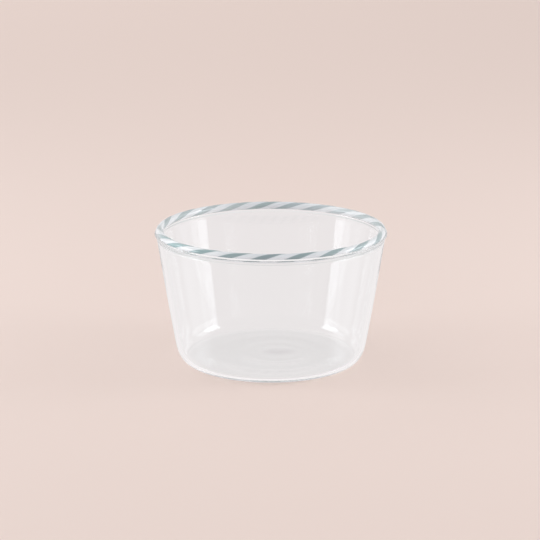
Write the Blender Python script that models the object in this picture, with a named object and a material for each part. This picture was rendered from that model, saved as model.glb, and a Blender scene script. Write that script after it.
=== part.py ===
"""Clear glass dessert bowl with a twisted, striped glass cane fused round its rim."""

from math import atan, cos, pi, radians, sin

import bpy

MM = 0.001

# Overall size
RIM_RADIUS = 60.0 * MM
BOWL_HEIGHT = 70.0 * MM

# Striped cane that runs round the rim
CANE_RADIUS = 2.05 * MM
CORE_RADIUS = 0.85 * MM
STRAND_RELIEF = 0.15 * MM
STRANDS_PER_COLOUR = 2
TEAL_SHARE = 0.47

# Twist of the cane along the rim, with the uneven hand that made it
TWIST_TURNS = 10
TWIST_START = radians(72.6)
DRIFT_ONCE = radians(26.5)
DRIFT_ONCE_FROM = radians(12.9)
DRIFT_TWICE = radians(38.8)
DRIFT_TWICE_FROM = radians(81.2)

# Gap left between pieces that are melted together in the real bowl
FUSE_GAP = 0.3 * MM

# Clear lip that holds the cane: thickness at its edges, how far it wraps the cane, and its flare inside
LIP_EDGE = 0.3 * MM
LIP_OUTER_ANGLE = radians(-10.0)
LIP_INNER_ANGLE = radians(-118.0)
INNER_LIP_FLARE = 1.9 * MM

# Outside of the bowl: the neck, measured from the rim's edge and top, and the wall down to the foot
NECK_INSET = 0.95 * MM
NECK_DROP = 4.15 * MM
WALL_BULGE = 0.2 * MM
FOOT_RADIUS = 44.2 * MM
CORNER_WIDTH = 6.2 * MM
CORNER_HEIGHT = 15.0 * MM

# Glass thickness, and the shape of the inside
WALL_THICKNESS = 1.9 * MM
BASE_THICKNESS = 1.8 * MM
FLOOR_INSET = 0.7 * MM
INNER_CORNER_WIDTH = 5.0 * MM
INNER_CORNER_HEIGHT = 13.0 * MM
RIPPLE_COUNT = 3
RIPPLE_HEIGHT = 0.08 * MM

# Steps used to draw the round forms
BODY_STEPS = 72
CANE_STEPS = 144
CORE_SIDES = 8
WALL_POINTS = 5
CORNER_POINTS = 7
BEAD_POINTS = 5
ROUNDOVER_POINTS = 4
CRADLE_POINTS = 7
FLARE_POINTS = 3
RIPPLE_POINTS = 4
STRAND_FACE_POINTS = 4
TANGENT_PASSES = 40
SHARP_EDGE = radians(50.0)

# Glass colours
CLEAR_GLASS = (0.93, 0.95, 0.95, 1.0)
TEAL_GLASS = (0.31, 0.405, 0.41, 1.0)
WHITE_GLASS = (0.80, 0.83, 0.87, 1.0)
GLASS_ROUGHNESS = 0.03
GLASS_IOR = 1.47
CLEAR_TRANSMISSION = 1.0
STRAND_TRANSMISSION = 0.1

# Sizes that follow from those above
neck_radius = RIM_RADIUS - NECK_INSET
neck_height = BOWL_HEIGHT - NECK_DROP
cane_ring_radius = RIM_RADIUS - LIP_EDGE - FUSE_GAP - CANE_RADIUS
cane_ring_height = BOWL_HEIGHT - CANE_RADIUS
cradle_radius = CANE_RADIUS + FUSE_GAP
strand_inner_radius = CORE_RADIUS + FUSE_GAP
pair_angle = 2 * pi / STRANDS_PER_COLOUR


def clear_scene():
    """Removes every object that the scene starts with."""
    for item in list(bpy.data.objects):
        bpy.data.objects.remove(item)


def glass(name, colour, transmission):
    """A glossy glass material of one colour."""
    material = bpy.data.materials.new(name)
    material.use_nodes = True
    shader = material.node_tree.nodes["Principled BSDF"]
    shader.inputs["Base Color"].default_value = colour
    shader.inputs["Metallic"].default_value = 0.0
    shader.inputs["Roughness"].default_value = GLASS_ROUGHNESS
    shader.inputs["IOR"].default_value = GLASS_IOR
    shader.inputs["Transmission Weight"].default_value = transmission
    material.diffuse_color = colour
    return material


def add_piece(name, points, faces, material):
    """Adds one smooth shaded solid to the scene."""
    mesh = bpy.data.meshes.new(name)
    mesh.from_pydata(points, [], faces)
    mesh.validate()
    mesh.shade_smooth()
    mesh.set_sharp_from_angle(angle=SHARP_EDGE)
    mesh.materials.append(material)
    piece = bpy.data.objects.new(name, mesh)
    bpy.context.scene.collection.objects.link(piece)


def arc(centre, width, height, first, last, count):
    """Points along part of an ellipse, as radius and height, ends included."""
    points = []
    for i in range(count):
        angle = first + (last - first) * i / (count - 1)
        points.append((centre[0] + width * cos(angle), centre[1] + height * sin(angle)))
    return points


def ease(start, end, count):
    """Points from start to end, as radius and height, that leave and arrive upright; start is left out."""
    points = []
    for i in range(1, count + 1):
        share = i / count
        radius = start[0] + (end[0] - start[0]) * (1 - cos(pi * share)) / 2
        points.append((radius, start[1] + (end[1] - start[1]) * share))
    return points


def bowl_side(foot_radius, foot_height, width, height, top_radius, top_height):
    """One side of the bowl from the foot up: a round corner that runs smoothly into the wall."""
    angle = 0.0
    for _ in range(TANGENT_PASSES):
        start_radius = foot_radius + width * cos(angle)
        start_height = foot_height + height * (1 + sin(angle))
        rise = top_height - start_height
        slope = (top_radius - start_radius + 4 * WALL_BULGE) / rise
        angle = -atan(slope * height / width)
    centre = (foot_radius, foot_height + height)
    side = arc(centre, width, height, -pi / 2, angle, CORNER_POINTS)
    start_radius, start_height = side[-1]
    for i in range(1, WALL_POINTS + 1):
        share = i / WALL_POINTS
        radius = start_radius + (top_radius - start_radius) * share
        radius += 4 * WALL_BULGE * share * (1 - share)
        side.append((radius, start_height + (top_height - start_height) * share))
    return side


def lip():
    """The clear lip, from the neck over the bead, through the cradle of the cane, to the inside wall."""
    ring = (cane_ring_radius, cane_ring_height)
    cradle = arc(ring, cradle_radius, cradle_radius, LIP_OUTER_ANGLE, LIP_INNER_ANGLE, CRADLE_POINTS)
    edge_radius, edge_height = cradle[0]
    roundover = RIM_RADIUS - edge_radius
    bead_height = edge_height - roundover
    bead = ease((neck_radius, neck_height), (RIM_RADIUS, bead_height), BEAD_POINTS)
    over = arc((edge_radius, bead_height), roundover, roundover, 0, pi / 2, ROUNDOVER_POINTS)
    return bead + over[1:-1] + cradle


def floor(floor_radius):
    """The inside floor with its faint rings, from the axis outwards."""
    points = [(0.0, BASE_THICKNESS + RIPPLE_HEIGHT)]
    count = RIPPLE_COUNT * RIPPLE_POINTS
    for i in range(1, count):
        share = i / count
        ripple = RIPPLE_HEIGHT * cos(2 * pi * RIPPLE_COUNT * share) * (1 - share)
        points.append((floor_radius * share, BASE_THICKNESS + ripple))
    return points


def bowl_profile():
    """The outline of half the bowl, from the axis under the base round to the axis on the floor."""
    outside = bowl_side(FOOT_RADIUS, 0.0, CORNER_WIDTH, CORNER_HEIGHT, neck_radius, neck_height)
    rim = lip()
    inner_edge_radius, inner_edge_height = rim[-1]
    floor_radius = FOOT_RADIUS - FLOOR_INSET
    inside = bowl_side(
        floor_radius,
        BASE_THICKNESS,
        INNER_CORNER_WIDTH,
        INNER_CORNER_HEIGHT,
        neck_radius - WALL_THICKNESS,
        neck_height - INNER_LIP_FLARE,
    )
    inside += ease(inside[-1], (inner_edge_radius, inner_edge_height - LIP_EDGE), FLARE_POINTS)
    return [(0.0, 0.0)] + outside + rim + inside[::-1] + floor(floor_radius)[::-1]


def add_turned(name, profile, material):
    """Turns a profile, which starts and ends on the axis, into a solid."""
    points = [(0.0, 0.0, profile[0][1])]
    rings = profile[1:-1]
    for radius, height in rings:
        for j in range(BODY_STEPS):
            turn = 2 * pi * j / BODY_STEPS
            points.append((radius * cos(turn), radius * sin(turn), height))
    points.append((0.0, 0.0, profile[-1][1]))
    last = len(points) - 1
    faces = []
    for j in range(BODY_STEPS):
        k = (j + 1) % BODY_STEPS
        faces.append((0, 1 + k, 1 + j))
        for i in range(len(rings) - 1):
            low = 1 + i * BODY_STEPS
            high = low + BODY_STEPS
            faces.append((low + j, low + k, high + k, high + j))
        top = 1 + (len(rings) - 1) * BODY_STEPS
        faces.append((top + j, top + k, last))
    add_piece(name, points, faces, material)


def twist(turn):
    """How far the cane has turned about its own line at this place round the rim."""
    drift = DRIFT_ONCE * sin(turn - DRIFT_ONCE_FROM)
    drift += DRIFT_TWICE * sin(2 * (turn - DRIFT_TWICE_FROM))
    return TWIST_START + TWIST_TURNS * turn + drift


def add_ring(name, section, twisted, material):
    """Carries a cross-section round the rim, turning it with the cane where it is twisted."""
    points = []
    size = len(section)
    for i in range(CANE_STEPS):
        turn = 2 * pi * i / CANE_STEPS
        angle = twist(turn) if twisted else 0.0
        for x, y in section:
            radius = cane_ring_radius + x * cos(angle) - y * sin(angle)
            height = cane_ring_height + x * sin(angle) + y * cos(angle)
            points.append((radius * cos(turn), radius * sin(turn), height))
    faces = []
    for i in range(CANE_STEPS):
        here = i * size
        after = (i + 1) % CANE_STEPS * size
        for a in range(size):
            b = (a + 1) % size
            faces.append((here + a, after + a, here + b))
            faces.append((after + a, after + b, here + b))
    add_piece(name, points, faces, material)


def strand_section(middle, width):
    """The cross-section of one ribbon of the cane: a wedge round the core with a rounded outer face."""
    corners = []
    for i in range(STRAND_FACE_POINTS):
        place = 2 * i / (STRAND_FACE_POINTS - 1) - 1
        radius = CANE_RADIUS - STRAND_RELIEF * place**2
        corners.append((radius, place * (width - FUSE_GAP / radius) / 2))
    inset = (width - FUSE_GAP / strand_inner_radius) / 2
    corners += [(strand_inner_radius, angle) for angle in (inset, 0.0, -inset)]
    return [(radius * cos(middle + angle), radius * sin(middle + angle)) for radius, angle in corners]


def core_section():
    """The round cross-section of the clear core."""
    angles = [2 * pi * i / CORE_SIDES for i in range(CORE_SIDES)]
    return [(CORE_RADIUS * cos(angle), CORE_RADIUS * sin(angle)) for angle in angles]


def build():
    """Adds every piece of the bowl."""
    clear_scene()
    clear = glass("clear_glass", CLEAR_GLASS, CLEAR_TRANSMISSION)
    add_turned("bowl_body", bowl_profile(), clear)
    core = glass("core_glass", CLEAR_GLASS, CLEAR_TRANSMISSION)
    add_ring("cane_core", core_section(), False, core)
    for i in range(STRANDS_PER_COLOUR):
        teal = glass(f"teal_glass_{i + 1}", TEAL_GLASS, STRAND_TRANSMISSION)
        teal_section = strand_section(pair_angle * i, pair_angle * TEAL_SHARE)
        add_ring(f"teal_strand_{i + 1}", teal_section, True, teal)
        white = glass(f"white_glass_{i + 1}", WHITE_GLASS, STRAND_TRANSMISSION)
        white_section = strand_section(pair_angle * (i + 0.5), pair_angle * (1 - TEAL_SHARE))
        add_ring(f"white_strand_{i + 1}", white_section, True, white)


build()
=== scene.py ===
"""The dessert bowl in soft studio light: clear glass with a twisted, striped glass rim."""

from math import atan, cos, exp, pi, radians, sin

import bpy
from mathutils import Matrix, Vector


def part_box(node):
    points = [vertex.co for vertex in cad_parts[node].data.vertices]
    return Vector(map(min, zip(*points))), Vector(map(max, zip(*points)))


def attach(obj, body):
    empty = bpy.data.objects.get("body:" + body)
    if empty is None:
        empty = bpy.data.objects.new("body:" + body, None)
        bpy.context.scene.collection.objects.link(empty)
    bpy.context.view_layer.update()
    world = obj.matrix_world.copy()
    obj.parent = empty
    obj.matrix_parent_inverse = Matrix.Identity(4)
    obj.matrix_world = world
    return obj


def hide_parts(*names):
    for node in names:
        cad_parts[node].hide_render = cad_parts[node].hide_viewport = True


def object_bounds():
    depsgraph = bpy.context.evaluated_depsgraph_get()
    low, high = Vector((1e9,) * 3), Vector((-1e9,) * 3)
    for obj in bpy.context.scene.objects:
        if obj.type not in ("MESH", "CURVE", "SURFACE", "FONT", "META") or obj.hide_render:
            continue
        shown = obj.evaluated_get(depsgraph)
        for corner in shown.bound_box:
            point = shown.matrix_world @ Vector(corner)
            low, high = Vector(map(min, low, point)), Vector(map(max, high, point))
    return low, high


MM = 0.001

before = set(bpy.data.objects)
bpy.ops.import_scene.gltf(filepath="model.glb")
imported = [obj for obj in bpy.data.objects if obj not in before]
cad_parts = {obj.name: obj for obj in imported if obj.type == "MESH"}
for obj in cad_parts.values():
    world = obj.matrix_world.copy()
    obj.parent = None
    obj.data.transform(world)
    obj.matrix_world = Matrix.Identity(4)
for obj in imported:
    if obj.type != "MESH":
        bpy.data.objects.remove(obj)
cad_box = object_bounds()

# Overall size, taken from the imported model
RIM_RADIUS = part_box("bowl_body")[1][0]
BOWL_HEIGHT = cad_box[1][2]

# Striped cane
CANE_RADIUS = 2.05 * MM
CORE_RADIUS = 0.85 * MM
STRAND_RELIEF = 0.16 * MM
STRANDS_PER_COLOUR = 2
TEAL_SHARE = 0.47
CAD_GAP = 0.3 * MM
STRAND_GAP = 0.02 * MM
CRADLE_GAP = 0.03 * MM

# Twist of the cane along the rim, with the uneven hand that made it
TWIST_TURNS = 10
TWIST_START = radians(72.6)
DRIFT_ONCE = radians(26.5)
DRIFT_ONCE_FROM = radians(12.9)
DRIFT_TWICE = radians(38.8)
DRIFT_TWICE_FROM = radians(81.2)

# Clear lip under the cane
LIP_EDGE = 0.3 * MM
LIP_OUTER_ANGLE = radians(-10.0)
LIP_INNER_ANGLE = radians(-118.0)
INNER_LIP_FLARE = 1.9 * MM

# Outside of the bowl
NECK_INSET = 0.95 * MM
NECK_DROP = 4.15 * MM
WALL_BULGE = 0.2 * MM
FOOT_RADIUS = 44.2 * MM
CORNER_WIDTH = 6.2 * MM
CORNER_HEIGHT = 15.0 * MM

# Inside of the bowl
WALL_THICKNESS = 1.9 * MM
BASE_THICKNESS = 1.8 * MM
FLOOR_INSET = 0.7 * MM
INNER_CORNER_WIDTH = 5.0 * MM
INNER_CORNER_HEIGHT = 13.0 * MM

# Faint rings on the floor, round a dimple that sits off centre; its width is a share of the floor
RIPPLE_COUNT = 3
RIPPLE_HEIGHT = 0.11 * MM
SWIRL_PLACE = (4.4 * MM, 2.6 * MM)
SWIRL_DEPTH = 0.2 * MM
SWIRL_WIDTH = 0.12

# Fineness of the meshes
BODY_STEPS = 240
CANE_STEPS = 600
CORE_SIDES = 12
WALL_POINTS = 40
CORNER_POINTS = 24
BEAD_POINTS = 14
ROUNDOVER_POINTS = 8
FLARE_POINTS = 10
CRADLE_POINTS = 20
RIPPLE_POINTS = 14
STRAND_FACE_POINTS = 9
STRAND_BACK_PLACES = (1.0, 0.5, 0.0, -0.5, -1.0)
TANGENT_PASSES = 40
SHARP_EDGE = radians(50.0)
STAGE_STEPS = 96
COVE_POINTS = 16

# Clear glass, with painted shade: a faint grey mark where the floor's swirl begins, standing in for
# the swirl's dark refraction
CLEAR = (0.99, 0.998, 0.998)
SWIRL_PAINTED_SHADE = (0.912, 0.908, 0.917)
SWIRL_PAINTED_SHADE_SIZE = (12.0 * MM, 7.0 * MM, 1.0)
SWIRL_PAINTED_SHADE_STOPS = ((0.0, SWIRL_PAINTED_SHADE), (0.35, SWIRL_PAINTED_SHADE), (1.0, CLEAR))
CLEAR_IOR = 1.47
CLEAR_ROUGHNESS = (0.0, 0.02)
FILM_SCALE = 90.0
FILM_DETAIL = 2.0

# Ribbon glass: streaks along the ribbon, and another colour at its edges
STRAND_IOR = 1.5
STRAND_COAT = 0.6
STRAND_COAT_ROUGHNESS = 0.02
STRAND_ROUGHNESS = (0.04, 0.10)
TEAL_TRANSMISSION = 0.05
WHITE_TRANSMISSION = 0.1
STREAK_STRETCH = (40.0, 5.0, 1.0)
STREAK_SCALE = 1.0
STREAK_DETAIL = 3.0
STREAK_SHADE = (0.85, 1.15)
TEAL_EDGE = (0.62, 0.69, 0.71)
WHITE_EDGE = (0.80, 0.83, 0.86)
HALF = (0.5, 0.5, 0.5)
NONE = (0.0, 0.0, 0.0)
EDGE_STOPS = ((0.0, HALF), (0.16, NONE), (0.84, NONE), (1.0, HALF))

# Ribbon colours, partly the glass's own uneven tone and partly painted light: paler and whiter
# towards the rim's ends as a painted highlight where lamps wash the cane out, and darker at the
# front and back as painted shade where less light falls. Places are degrees round the rim, from the
# right as the camera sees it
FULL_TURN = 360
TEAL_TONE_AND_PAINTED_LIGHT = (
    (0, (0.42, 0.50, 0.51)),
    (20, (0.50, 0.57, 0.58)),
    (42, (0.59, 0.64, 0.65)),
    (55, (0.55, 0.61, 0.63)),
    (72, (0.45, 0.51, 0.54)),
    (94, (0.37, 0.45, 0.46)),
    (115, (0.50, 0.56, 0.57)),
    (145, (0.48, 0.55, 0.56)),
    (175, (0.44, 0.51, 0.52)),
    (193, (0.52, 0.58, 0.59)),
    (212, (0.34, 0.50, 0.51)),
    (232, (0.31, 0.43, 0.44)),
    (250, (0.295, 0.385, 0.40)),
    (270, (0.275, 0.345, 0.37)),
    (286, (0.285, 0.37, 0.385)),
    (304, (0.37, 0.46, 0.475)),
    (330, (0.42, 0.51, 0.52)),
    (360, (0.42, 0.50, 0.51)),
)
WHITE_TONE_AND_PAINTED_LIGHT = (
    (0, (0.91, 0.93, 0.95)),
    (60, (0.91, 0.93, 0.95)),
    (78, (0.81, 0.83, 0.87)),
    (104, (0.81, 0.83, 0.86)),
    (125, (0.91, 0.93, 0.95)),
    (235, (0.91, 0.93, 0.95)),
    (258, (0.81, 0.835, 0.87)),
    (285, (0.81, 0.835, 0.87)),
    (310, (0.91, 0.93, 0.95)),
    (360, (0.91, 0.93, 0.95)),
)

# Stage: pink paper to the camera, and a paler ground where glass shows or mirrors it
FLOOR_DROP = 0.3 * MM
STAGE_RADIUS = 5.0
STAGE_COVE = 1.0
PINK = (0.842, 0.70, 0.645, 1.0)
PALE = (0.955, 0.912, 0.915, 1.0)
PALE_THROUGH = (0.828, 0.783, 0.782, 1.0)
PAPER_ROUGHNESS = 0.9
POLISH_ROUGHNESS = 0.03

# Light panels at each side: name, angles from the camera's direction, bottom, top and radiance
LEFT, RIGHT = -1, 1
BOX_DISTANCE = 0.75
SOFTBOX_COLOUR = (0.94, 1.0, 1.04)
SOFTBOXES = (
    ("strip", 75, 87, 0.0, 0.19, 2.1),
    ("fade", 87, 97, 0.0, 0.19, 1.3),
    ("skirt", 97, 125, 0.0, 0.19, 0.6),
    ("box", 77, 102, 0.19, 0.46, 3.8),
    ("wing", 102, 122, 0.24, 0.52, 1.0),
)

# Large light high behind the bowl
TOP_WIDTH = 3.0
TOP_LENGTH = 2.0
TOP_RADIANCE = 0.88
TOP_COLOUR = (1.0, 1.0, 1.0)
TOP_PLACE = (-1.8, 2.3, 2.5)
FACING_DOWN = (0.0, 0.0, 0.0)

# A panel isn't seen through more crossings of the glass than this, nor after this many mirrorings
WALL_CROSSINGS = 3.0
PIPED_MIRRORS = 5.0

# World: even soft light, with a dimmer patch high behind the bowl, whose edge and heart are
# cosines of the angle from its middle
WORLD_COLOUR = (1.0, 1.0, 1.0, 1.0)
WORLD_LIGHT = 0.8
DIM_LIGHT = 0.54
DIM_HEIGHT = radians(32.0)
DIM_EDGE = 0.92
DIM_HEART = 0.99

# Camera, as the photograph was taken
CAMERA_PLACE = (-0.5 * MM, -889.65 * MM, 284.96 * MM)
CAMERA_PITCH = radians(75.0)
LENS = 118.2
SENSOR_WIDTH = 36.0

# Light is followed far enough to come out of the thick glass of the base and lip
GLASS_BOUNCES = 208
GLOSSY_BLUR = 0.15

# Places that follow from the sizes
neck_radius = RIM_RADIUS - NECK_INSET
neck_height = BOWL_HEIGHT - NECK_DROP
cane_ring_radius = RIM_RADIUS - LIP_EDGE - CAD_GAP - CANE_RADIUS
cane_ring_height = BOWL_HEIGHT - CANE_RADIUS
cradle_radius = CANE_RADIUS + CRADLE_GAP
pair_angle = 2 * pi / STRANDS_PER_COLOUR


def add_piece(name, points, faces, material, slot, *nodes):
    """Adds one smooth piece that rides on the bowl and stands for the named CAD nodes."""
    mesh = bpy.data.meshes.new(name)
    mesh.from_pydata(points, [], faces)
    mesh.shade_smooth()
    mesh.set_sharp_from_angle(angle=SHARP_EDGE)
    mesh.materials.append(material)
    piece = bpy.data.objects.new(name, mesh)
    bpy.context.scene.collection.objects.link(piece)
    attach(piece, "root")
    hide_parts(*nodes)
    return piece


def arc(centre, width, height, first, last, count):
    points = []
    for i in range(count):
        angle = first + (last - first) * i / (count - 1)
        points.append((centre[0] + width * cos(angle), centre[1] + height * sin(angle)))
    return points


def ease(start, end, count):
    """A smooth S from start to end, without the start point."""
    points = []
    for i in range(1, count + 1):
        share = i / count
        radius = start[0] + (end[0] - start[0]) * (1 - cos(pi * share)) / 2
        points.append((radius, start[1] + (end[1] - start[1]) * share))
    return points


def bowl_side(foot_radius, foot_height, width, height, top_radius, top_height):
    """A round corner that runs smoothly into a wall, which bulges by WALL_BULGE halfway up."""
    angle = 0.0
    for _ in range(TANGENT_PASSES):
        start_radius = foot_radius + width * cos(angle)
        start_height = foot_height + height * (1 + sin(angle))
        rise = top_height - start_height
        slope = (top_radius - start_radius + 4 * WALL_BULGE) / rise
        angle = -atan(slope * height / width)
    centre = (foot_radius, foot_height + height)
    side = arc(centre, width, height, -pi / 2, angle, CORNER_POINTS)
    start_radius, start_height = side[-1]
    for i in range(1, WALL_POINTS + 1):
        share = i / WALL_POINTS
        radius = start_radius + (top_radius - start_radius) * share
        radius += 4 * WALL_BULGE * share * (1 - share)
        side.append((radius, start_height + (top_height - start_height) * share))
    return side


def lip():
    """The lip's outline, from the neck over the edge and along the cradle under the cane."""
    ring = (cane_ring_radius, cane_ring_height)
    ends = (LIP_OUTER_ANGLE, LIP_INNER_ANGLE)
    cradle = arc(ring, cradle_radius, cradle_radius, *ends, CRADLE_POINTS)
    edge_radius, edge_height = cradle[0]
    roundover = RIM_RADIUS - edge_radius
    bead_height = edge_height - roundover
    bead = ease((neck_radius, neck_height), (RIM_RADIUS, bead_height), BEAD_POINTS)
    over = arc((edge_radius, bead_height), roundover, roundover, 0, pi / 2, ROUNDOVER_POINTS)
    return bead + over[1:-1] + cradle


def floor_rings(floor_radius):
    """The floor's rings, round an off-centre dimple: radius, height and share of the offset."""
    rings = []
    count = RIPPLE_COUNT * RIPPLE_POINTS
    for i in range(count):
        share = i / count
        ripple = RIPPLE_HEIGHT * cos(2 * pi * RIPPLE_COUNT * share) * (1 - share)
        dimple = SWIRL_DEPTH * exp(-((share / SWIRL_WIDTH) ** 2))
        rings.append((floor_radius * share, BASE_THICKNESS + ripple - dimple, 1 - share))
    return rings


def bowl_profile():
    """The outline from foot over lip to floor: radius, height and share of the swirl's offset."""
    outside = bowl_side(FOOT_RADIUS, 0.0, CORNER_WIDTH, CORNER_HEIGHT, neck_radius, neck_height)
    rim = lip()
    inner_edge_radius, inner_edge_height = rim[-1]
    floor_radius = FOOT_RADIUS - FLOOR_INSET
    inside = bowl_side(
        floor_radius,
        BASE_THICKNESS,
        INNER_CORNER_WIDTH,
        INNER_CORNER_HEIGHT,
        neck_radius - WALL_THICKNESS,
        neck_height - INNER_LIP_FLARE,
    )
    inside += ease(inside[-1], (inner_edge_radius, inner_edge_height - LIP_EDGE), FLARE_POINTS)
    wall = [(radius, height, 0.0) for radius, height in outside + rim + inside[::-1]]
    return wall + floor_rings(floor_radius)[::-1]


def add_bowl(material):
    *rings, middle = bowl_profile()
    points = [(0.0, 0.0, 0.0)]
    for radius, height, offset in rings:
        x, y = (offset * place for place in SWIRL_PLACE)
        for j in range(BODY_STEPS):
            turn = 2 * pi * j / BODY_STEPS
            points.append((x + radius * cos(turn), y + radius * sin(turn), height))
    points.append((*SWIRL_PLACE, middle[1]))
    last = len(points) - 1
    faces = []
    for j in range(BODY_STEPS):
        k = (j + 1) % BODY_STEPS
        faces.append((0, 1 + k, 1 + j))
        for i in range(len(rings) - 1):
            low = 1 + i * BODY_STEPS
            high = low + BODY_STEPS
            faces.append((low + j, low + k, high + k, high + j))
        top = 1 + (len(rings) - 1) * BODY_STEPS
        faces.append((top + j, top + k, last))
    add_piece("glass_bowl", points, faces, material, "clear_glass", "bowl_body")


def twist(turn):
    drift = DRIFT_ONCE * sin(turn - DRIFT_ONCE_FROM)
    drift += DRIFT_TWICE * sin(2 * (turn - DRIFT_TWICE_FROM))
    return TWIST_START + TWIST_TURNS * turn + drift


def add_ring(name, section, across, twisted, material, slot, node):
    """Carries a section round the rim, with UVs along the ring and across it."""
    points = []
    size = len(section)
    for i in range(CANE_STEPS):
        turn = 2 * pi * i / CANE_STEPS
        angle = twist(turn) if twisted else 0.0
        for x, y in section:
            radius = cane_ring_radius + x * cos(angle) - y * sin(angle)
            height = cane_ring_height + x * sin(angle) + y * cos(angle)
            points.append((radius * cos(turn), radius * sin(turn), height))
    faces = []
    places = []
    for i in range(CANE_STEPS):
        here = i * size
        after = (i + 1) % CANE_STEPS * size
        begin, end = i / CANE_STEPS, (i + 1) / CANE_STEPS
        for a in range(size):
            b = (a + 1) % size
            faces.append((here + a, after + a, after + b, here + b))
            places += [(begin, across[a]), (end, across[a]), (end, across[b]), (begin, across[b])]
    piece = add_piece(name, points, faces, material, slot, node)
    layer = piece.data.uv_layers.new(name="ribbon")
    for loop, place in zip(layer.data, places):
        loop.uv = place


def strand_section(middle, width):
    """A wedge of the cane with a rounded face, and where each point lies across the ribbon."""
    corners = []
    across = []
    for i in range(STRAND_FACE_POINTS):
        place = 2 * i / (STRAND_FACE_POINTS - 1) - 1
        radius = CANE_RADIUS - STRAND_RELIEF * place**2
        corners.append((radius, place * (width - STRAND_GAP / radius) / 2))
        across.append((place + 1) / 2)
    inner_radius = CORE_RADIUS + STRAND_GAP
    inset = (width - STRAND_GAP / inner_radius) / 2
    for place in STRAND_BACK_PLACES:
        corners.append((inner_radius, place * inset))
        across.append((place + 1) / 2)
    section = []
    for radius, angle in corners:
        section.append((radius * cos(middle + angle), radius * sin(middle + angle)))
    return section, across


def core_section():
    angles = [2 * pi * i / CORE_SIDES for i in range(CORE_SIDES)]
    section = [(CORE_RADIUS * cos(angle), CORE_RADIUS * sin(angle)) for angle in angles]
    return section, [i / CORE_SIDES for i in range(CORE_SIDES)]


def add_node(tree, kind, inputs, **settings):
    """Adds a node. Each input, by name or number, is linked to an output or set to a value."""
    node = tree.nodes.new(kind)
    for name, setting in settings.items():
        setattr(node, name, setting)
    for name, value in inputs.items():
        if isinstance(value, bpy.types.NodeSocket):
            tree.links.new(value, node.inputs[name])
        else:
            node.inputs[name].default_value = value
    return node


def arithmetic(tree, operation, first, second):
    node = add_node(tree, "ShaderNodeMath", {0: first, 1: second}, operation=operation)
    return node.outputs["Value"]


def noise(tree, vector, scale, detail):
    inputs = {"Vector": vector, "Scale": scale, "Detail": detail}
    return add_node(tree, "ShaderNodeTexNoise", inputs).outputs["Fac"]


def spread(tree, value, limits):
    inputs = {"Value": value, "To Min": limits[0], "To Max": limits[1]}
    return add_node(tree, "ShaderNodeMapRange", inputs).outputs["Result"]


def colour_ramp(tree, value, stops):
    node = add_node(tree, "ShaderNodeValToRGB", {"Fac": value})
    ramp = node.color_ramp
    ramp.interpolation = "EASE"
    while len(ramp.elements) < len(stops):
        ramp.elements.new(1.0)
    for element, (at, colour) in zip(ramp.elements, stops):
        element.position = at
        element.color = (*colour, 1.0)
    return node.outputs["Color"]


def mix_shaders(tree, share, first, second):
    """Shows the second shader by its share, and the first for the rest."""
    inputs = {"Fac": share, 1: first, 2: second}
    return add_node(tree, "ShaderNodeMixShader", inputs).outputs["Shader"]


def new_material(name):
    material = bpy.data.materials.new(name)
    material.use_nodes = True
    tree = material.node_tree
    return material, tree, tree.nodes["Principled BSDF"]


def clear_glass():
    material, tree, shader = new_material("clear_glass")
    shader.inputs["IOR"].default_value = CLEAR_IOR
    shader.inputs["Transmission Weight"].default_value = 1.0
    where = add_node(tree, "ShaderNodeTexCoord", {}).outputs["Object"]
    # Painted shade: the base colour greys in an oval round the swirl, standing in for the swirl's
    # dark refraction
    inputs = {0: where, 1: (*SWIRL_PLACE, 0.0)}
    aside = add_node(tree, "ShaderNodeVectorMath", inputs, operation="SUBTRACT").outputs["Vector"]
    inputs = {0: aside, 1: SWIRL_PAINTED_SHADE_SIZE}
    shares = add_node(tree, "ShaderNodeVectorMath", inputs, operation="DIVIDE").outputs["Vector"]
    away = add_node(tree, "ShaderNodeVectorMath", {0: shares}, operation="LENGTH").outputs["Value"]
    tree.links.new(colour_ramp(tree, away, SWIRL_PAINTED_SHADE_STOPS), shader.inputs["Base Color"])
    film = noise(tree, where, FILM_SCALE, FILM_DETAIL)
    tree.links.new(spread(tree, film, CLEAR_ROUGHNESS), shader.inputs["Roughness"])
    return material


def strand_glass(name, along, edge, transmission):
    """Ribbon glass whose colour drifts round the rim, partly its own tone and partly painted
    highlight and shade, and changes at the ribbon's edges.
    """
    material, tree, shader = new_material(name)
    shader.inputs["IOR"].default_value = STRAND_IOR
    shader.inputs["Transmission Weight"].default_value = transmission
    shader.inputs["Coat Weight"].default_value = STRAND_COAT
    shader.inputs["Coat Roughness"].default_value = STRAND_COAT_ROUGHNESS
    place = add_node(tree, "ShaderNodeUVMap", {}, uv_map="ribbon").outputs["UV"]
    split = add_node(tree, "ShaderNodeSeparateXYZ", {"Vector": place})
    # Colour round the rim: partly the ribbon's own tone, partly painted highlight at the ends and
    # painted shade at the front and back
    stops = [(at / FULL_TURN, colour) for at, colour in along]
    body = colour_ramp(tree, split.outputs["X"], stops)
    border = colour_ramp(tree, split.outputs["Y"], EDGE_STOPS)
    blend = add_node(tree, "ShaderNodeMix", {"Factor": border}, data_type="RGBA")
    body_socket, edge_socket = [socket for socket in blend.inputs if socket.type == "RGBA"]
    tree.links.new(body, body_socket)
    edge_socket.default_value = (*edge, 1.0)
    mixed = [socket for socket in blend.outputs if socket.type == "RGBA"][0]
    stretch = add_node(tree, "ShaderNodeMapping", {"Vector": place, "Scale": STREAK_STRETCH})
    streak = noise(tree, stretch.outputs["Vector"], STREAK_SCALE, STREAK_DETAIL)
    inputs = {"Color": mixed, "Value": spread(tree, streak, STREAK_SHADE)}
    shade = add_node(tree, "ShaderNodeHueSaturation", inputs)
    tree.links.new(shade.outputs["Color"], shader.inputs["Base Color"])
    tree.links.new(spread(tree, streak, STRAND_ROUGHNESS), shader.inputs["Roughness"])
    return material


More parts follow.
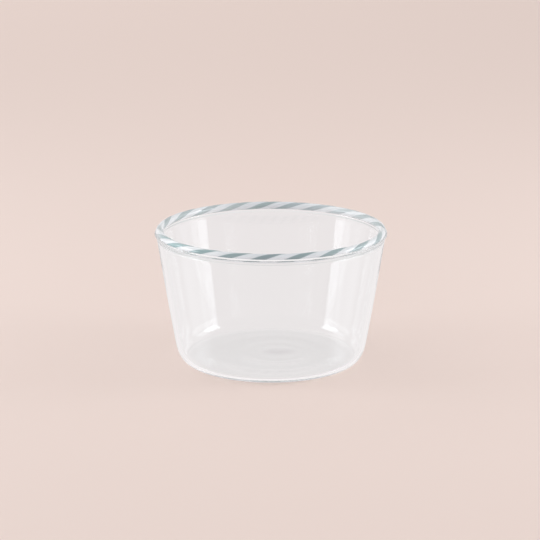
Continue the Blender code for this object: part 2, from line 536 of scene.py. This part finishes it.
def add_cane(clear):
    section, across = core_section()
    add_ring("cane_heart", section, across, False, clear, "clear_glass", "cane_core")
    teal = strand_glass("teal_glass", TEAL_TONE_AND_PAINTED_LIGHT, TEAL_EDGE, TEAL_TRANSMISSION)
    white = strand_glass("white_glass", WHITE_TONE_AND_PAINTED_LIGHT, WHITE_EDGE, WHITE_TRANSMISSION)
    for i in range(STRANDS_PER_COLOUR):
        number = i + 1
        section, across = strand_section(pair_angle * i, pair_angle * TEAL_SHARE)
        name, node = f"teal_ribbon_{number}", f"teal_strand_{number}"
        add_ring(name, section, across, True, teal, "teal_glass", node)
        section, across = strand_section(pair_angle * (i + 0.5), pair_angle * (1 - TEAL_SHARE))
        name, node = f"white_ribbon_{number}", f"white_strand_{number}"
        add_ring(name, section, across, True, white, "white_glass", node)


def seen_straight_through(tree):
    """1 where glass shows a place without mirroring it on the way, 0 elsewhere."""
    sight = add_node(tree, "ShaderNodeLightPath", {})
    unmirrored = arithmetic(tree, "LESS_THAN", sight.outputs["Glossy Depth"], 1.0)
    return arithmetic(tree, "MULTIPLY", sight.outputs["Is Transmission Ray"], unmirrored)


def stage_paper():
    """Pink paper to the camera. Glass shows a paler ground, and mirrors it with a little polish."""
    material, tree, shader = new_material("stage_paper")
    shader.inputs["Roughness"].default_value = PAPER_ROUGHNESS
    shader.inputs["Specular IOR Level"].default_value = 0.0
    shader.inputs["Base Color"].default_value = PINK
    glow = add_node(tree, "ShaderNodeEmission", {"Color": PALE}).outputs["Emission"]
    polish = add_node(tree, "ShaderNodeBsdfGlossy", {"Roughness": POLISH_ROUGHNESS}).outputs["BSDF"]
    graze = add_node(tree, "ShaderNodeFresnel", {}).outputs["Fac"]
    plain = add_node(tree, "ShaderNodeEmission", {"Color": PALE_THROUGH}).outputs["Emission"]
    sight = add_node(tree, "ShaderNodeLightPath", {})
    mirrored = mix_shaders(tree, graze, glow, polish)
    ground = mix_shaders(tree, seen_straight_through(tree), mirrored, plain)
    seen = mix_shaders(tree, sight.outputs["Is Camera Ray"], ground, shader.outputs["BSDF"])
    tree.links.new(seen, tree.nodes["Material Output"].inputs["Surface"])
    return material


def add_stage():
    """A round floor that sweeps up into a wall."""
    rings = [(STAGE_RADIUS / 2, 0.0)]
    rings += arc((STAGE_RADIUS, STAGE_COVE), STAGE_COVE, STAGE_COVE, -pi / 2, 0, COVE_POINTS)
    points = [(0.0, 0.0, -FLOOR_DROP)]
    for radius, height in rings:
        for j in range(STAGE_STEPS):
            turn = 2 * pi * j / STAGE_STEPS
            points.append((radius * cos(turn), radius * sin(turn), height - FLOOR_DROP))
    faces = []
    for j in range(STAGE_STEPS):
        k = (j + 1) % STAGE_STEPS
        faces.append((0, 1 + j, 1 + k))
        for i in range(len(rings) - 1):
            low = 1 + i * STAGE_STEPS
            high = low + STAGE_STEPS
            faces.append((low + j, high + j, high + k, low + k))
    mesh = bpy.data.meshes.new("stage")
    mesh.from_pydata(points, [], faces)
    mesh.shade_smooth()
    mesh.materials.append(stage_paper())
    stage = bpy.data.objects.new("stage", mesh)
    bpy.context.scene.collection.objects.link(stage)


def add_lamp(name, width, height, radiance, colour, place, turn):
    """A soft light panel that is mirrored in the glass but doesn't show straight through it."""
    light = bpy.data.lights.new(name, "AREA")
    light.shape = "RECTANGLE"
    light.size = width
    light.size_y = height
    light.energy = radiance * pi * width * height
    light.color = colour
    light.use_nodes = True
    tree = light.node_tree
    sight = add_node(tree, "ShaderNodeLightPath", {}).outputs
    behind_walls = arithmetic(tree, "GREATER_THAN", sight["Transmission Depth"], WALL_CROSSINGS)
    unmirrored = arithmetic(tree, "LESS_THAN", sight["Glossy Depth"], 1.0)
    looked_at = arithmetic(tree, "LESS_THAN", sight["Diffuse Depth"], 1.0)
    unpiped = arithmetic(tree, "LESS_THAN", sight["Glossy Depth"], PIPED_MIRRORS)
    hidden = arithmetic(tree, "MULTIPLY", behind_walls, unmirrored)
    hidden = arithmetic(tree, "MULTIPLY", hidden, looked_at)
    shown = arithmetic(tree, "MULTIPLY", arithmetic(tree, "SUBTRACT", 1.0, hidden), unpiped)
    tree.links.new(shown, tree.nodes["Emission"].inputs["Strength"])
    lamp = bpy.data.objects.new(name, light)
    lamp.location = place
    lamp.rotation_euler = turn
    lamp.visible_camera = False
    bpy.context.scene.collection.objects.link(lamp)


def add_softbox(name, side, near, far, bottom, top, radiance):
    """A panel beside the bowl, between two angles from the camera's direction."""
    first = -BOX_DISTANCE * cos(near) / sin(near)
    last = -BOX_DISTANCE * cos(far) / sin(far)
    place = (side * BOX_DISTANCE, (first + last) / 2, (bottom + top) / 2)
    turn = (pi / 2, 0.0, side * pi / 2)
    add_lamp(name, last - first, top - bottom, radiance, SOFTBOX_COLOUR, place, turn)


def add_lights():
    for side, side_name in ((LEFT, "left"), (RIGHT, "right")):
        for name, near, far, *rest in SOFTBOXES:
            add_softbox(f"{side_name}_{name}", side, radians(near), radians(far), *rest)
    add_lamp("top_light", TOP_WIDTH, TOP_LENGTH, TOP_RADIANCE, TOP_COLOUR, TOP_PLACE, FACING_DOWN)


def add_world():
    world = bpy.data.worlds.new("studio")
    world.use_nodes = True
    tree = world.node_tree
    where = add_node(tree, "ShaderNodeTexCoord", {}).outputs["Generated"]
    inputs = {0: where, 1: (0.0, cos(DIM_HEIGHT), sin(DIM_HEIGHT))}
    facing = add_node(tree, "ShaderNodeVectorMath", inputs, operation="DOT_PRODUCT")
    inputs = {
        "Value": facing.outputs["Value"],
        "From Min": DIM_EDGE,
        "From Max": DIM_HEART,
        "To Min": WORLD_LIGHT,
        "To Max": DIM_LIGHT,
    }
    dim = add_node(tree, "ShaderNodeMapRange", inputs, interpolation_type="SMOOTHSTEP")
    background = tree.nodes["Background"]
    background.inputs["Color"].default_value = WORLD_COLOUR
    tree.links.new(dim.outputs["Result"], background.inputs["Strength"])
    bpy.context.scene.world = world


def add_camera():
    camera_data = bpy.data.cameras.new("camera")
    camera_data.lens = LENS
    camera_data.sensor_width = SENSOR_WIDTH
    camera = bpy.data.objects.new("camera", camera_data)
    camera.location = CAMERA_PLACE
    camera.rotation_euler = (CAMERA_PITCH, 0.0, 0.0)
    bpy.context.scene.collection.objects.link(camera)
    bpy.context.scene.camera = camera


def set_light_paths():
    cycles = bpy.context.scene.cycles
    cycles.max_bounces = GLASS_BOUNCES
    cycles.glossy_bounces = GLASS_BOUNCES
    cycles.transmission_bounces = GLASS_BOUNCES
    cycles.blur_glossy = GLOSSY_BLUR


glass = clear_glass()
add_bowl(glass)
add_cane(glass)
add_stage()
add_lights()
add_world()
add_camera()
set_light_paths()
bpy.context.scene.view_settings.view_transform = "Standard"
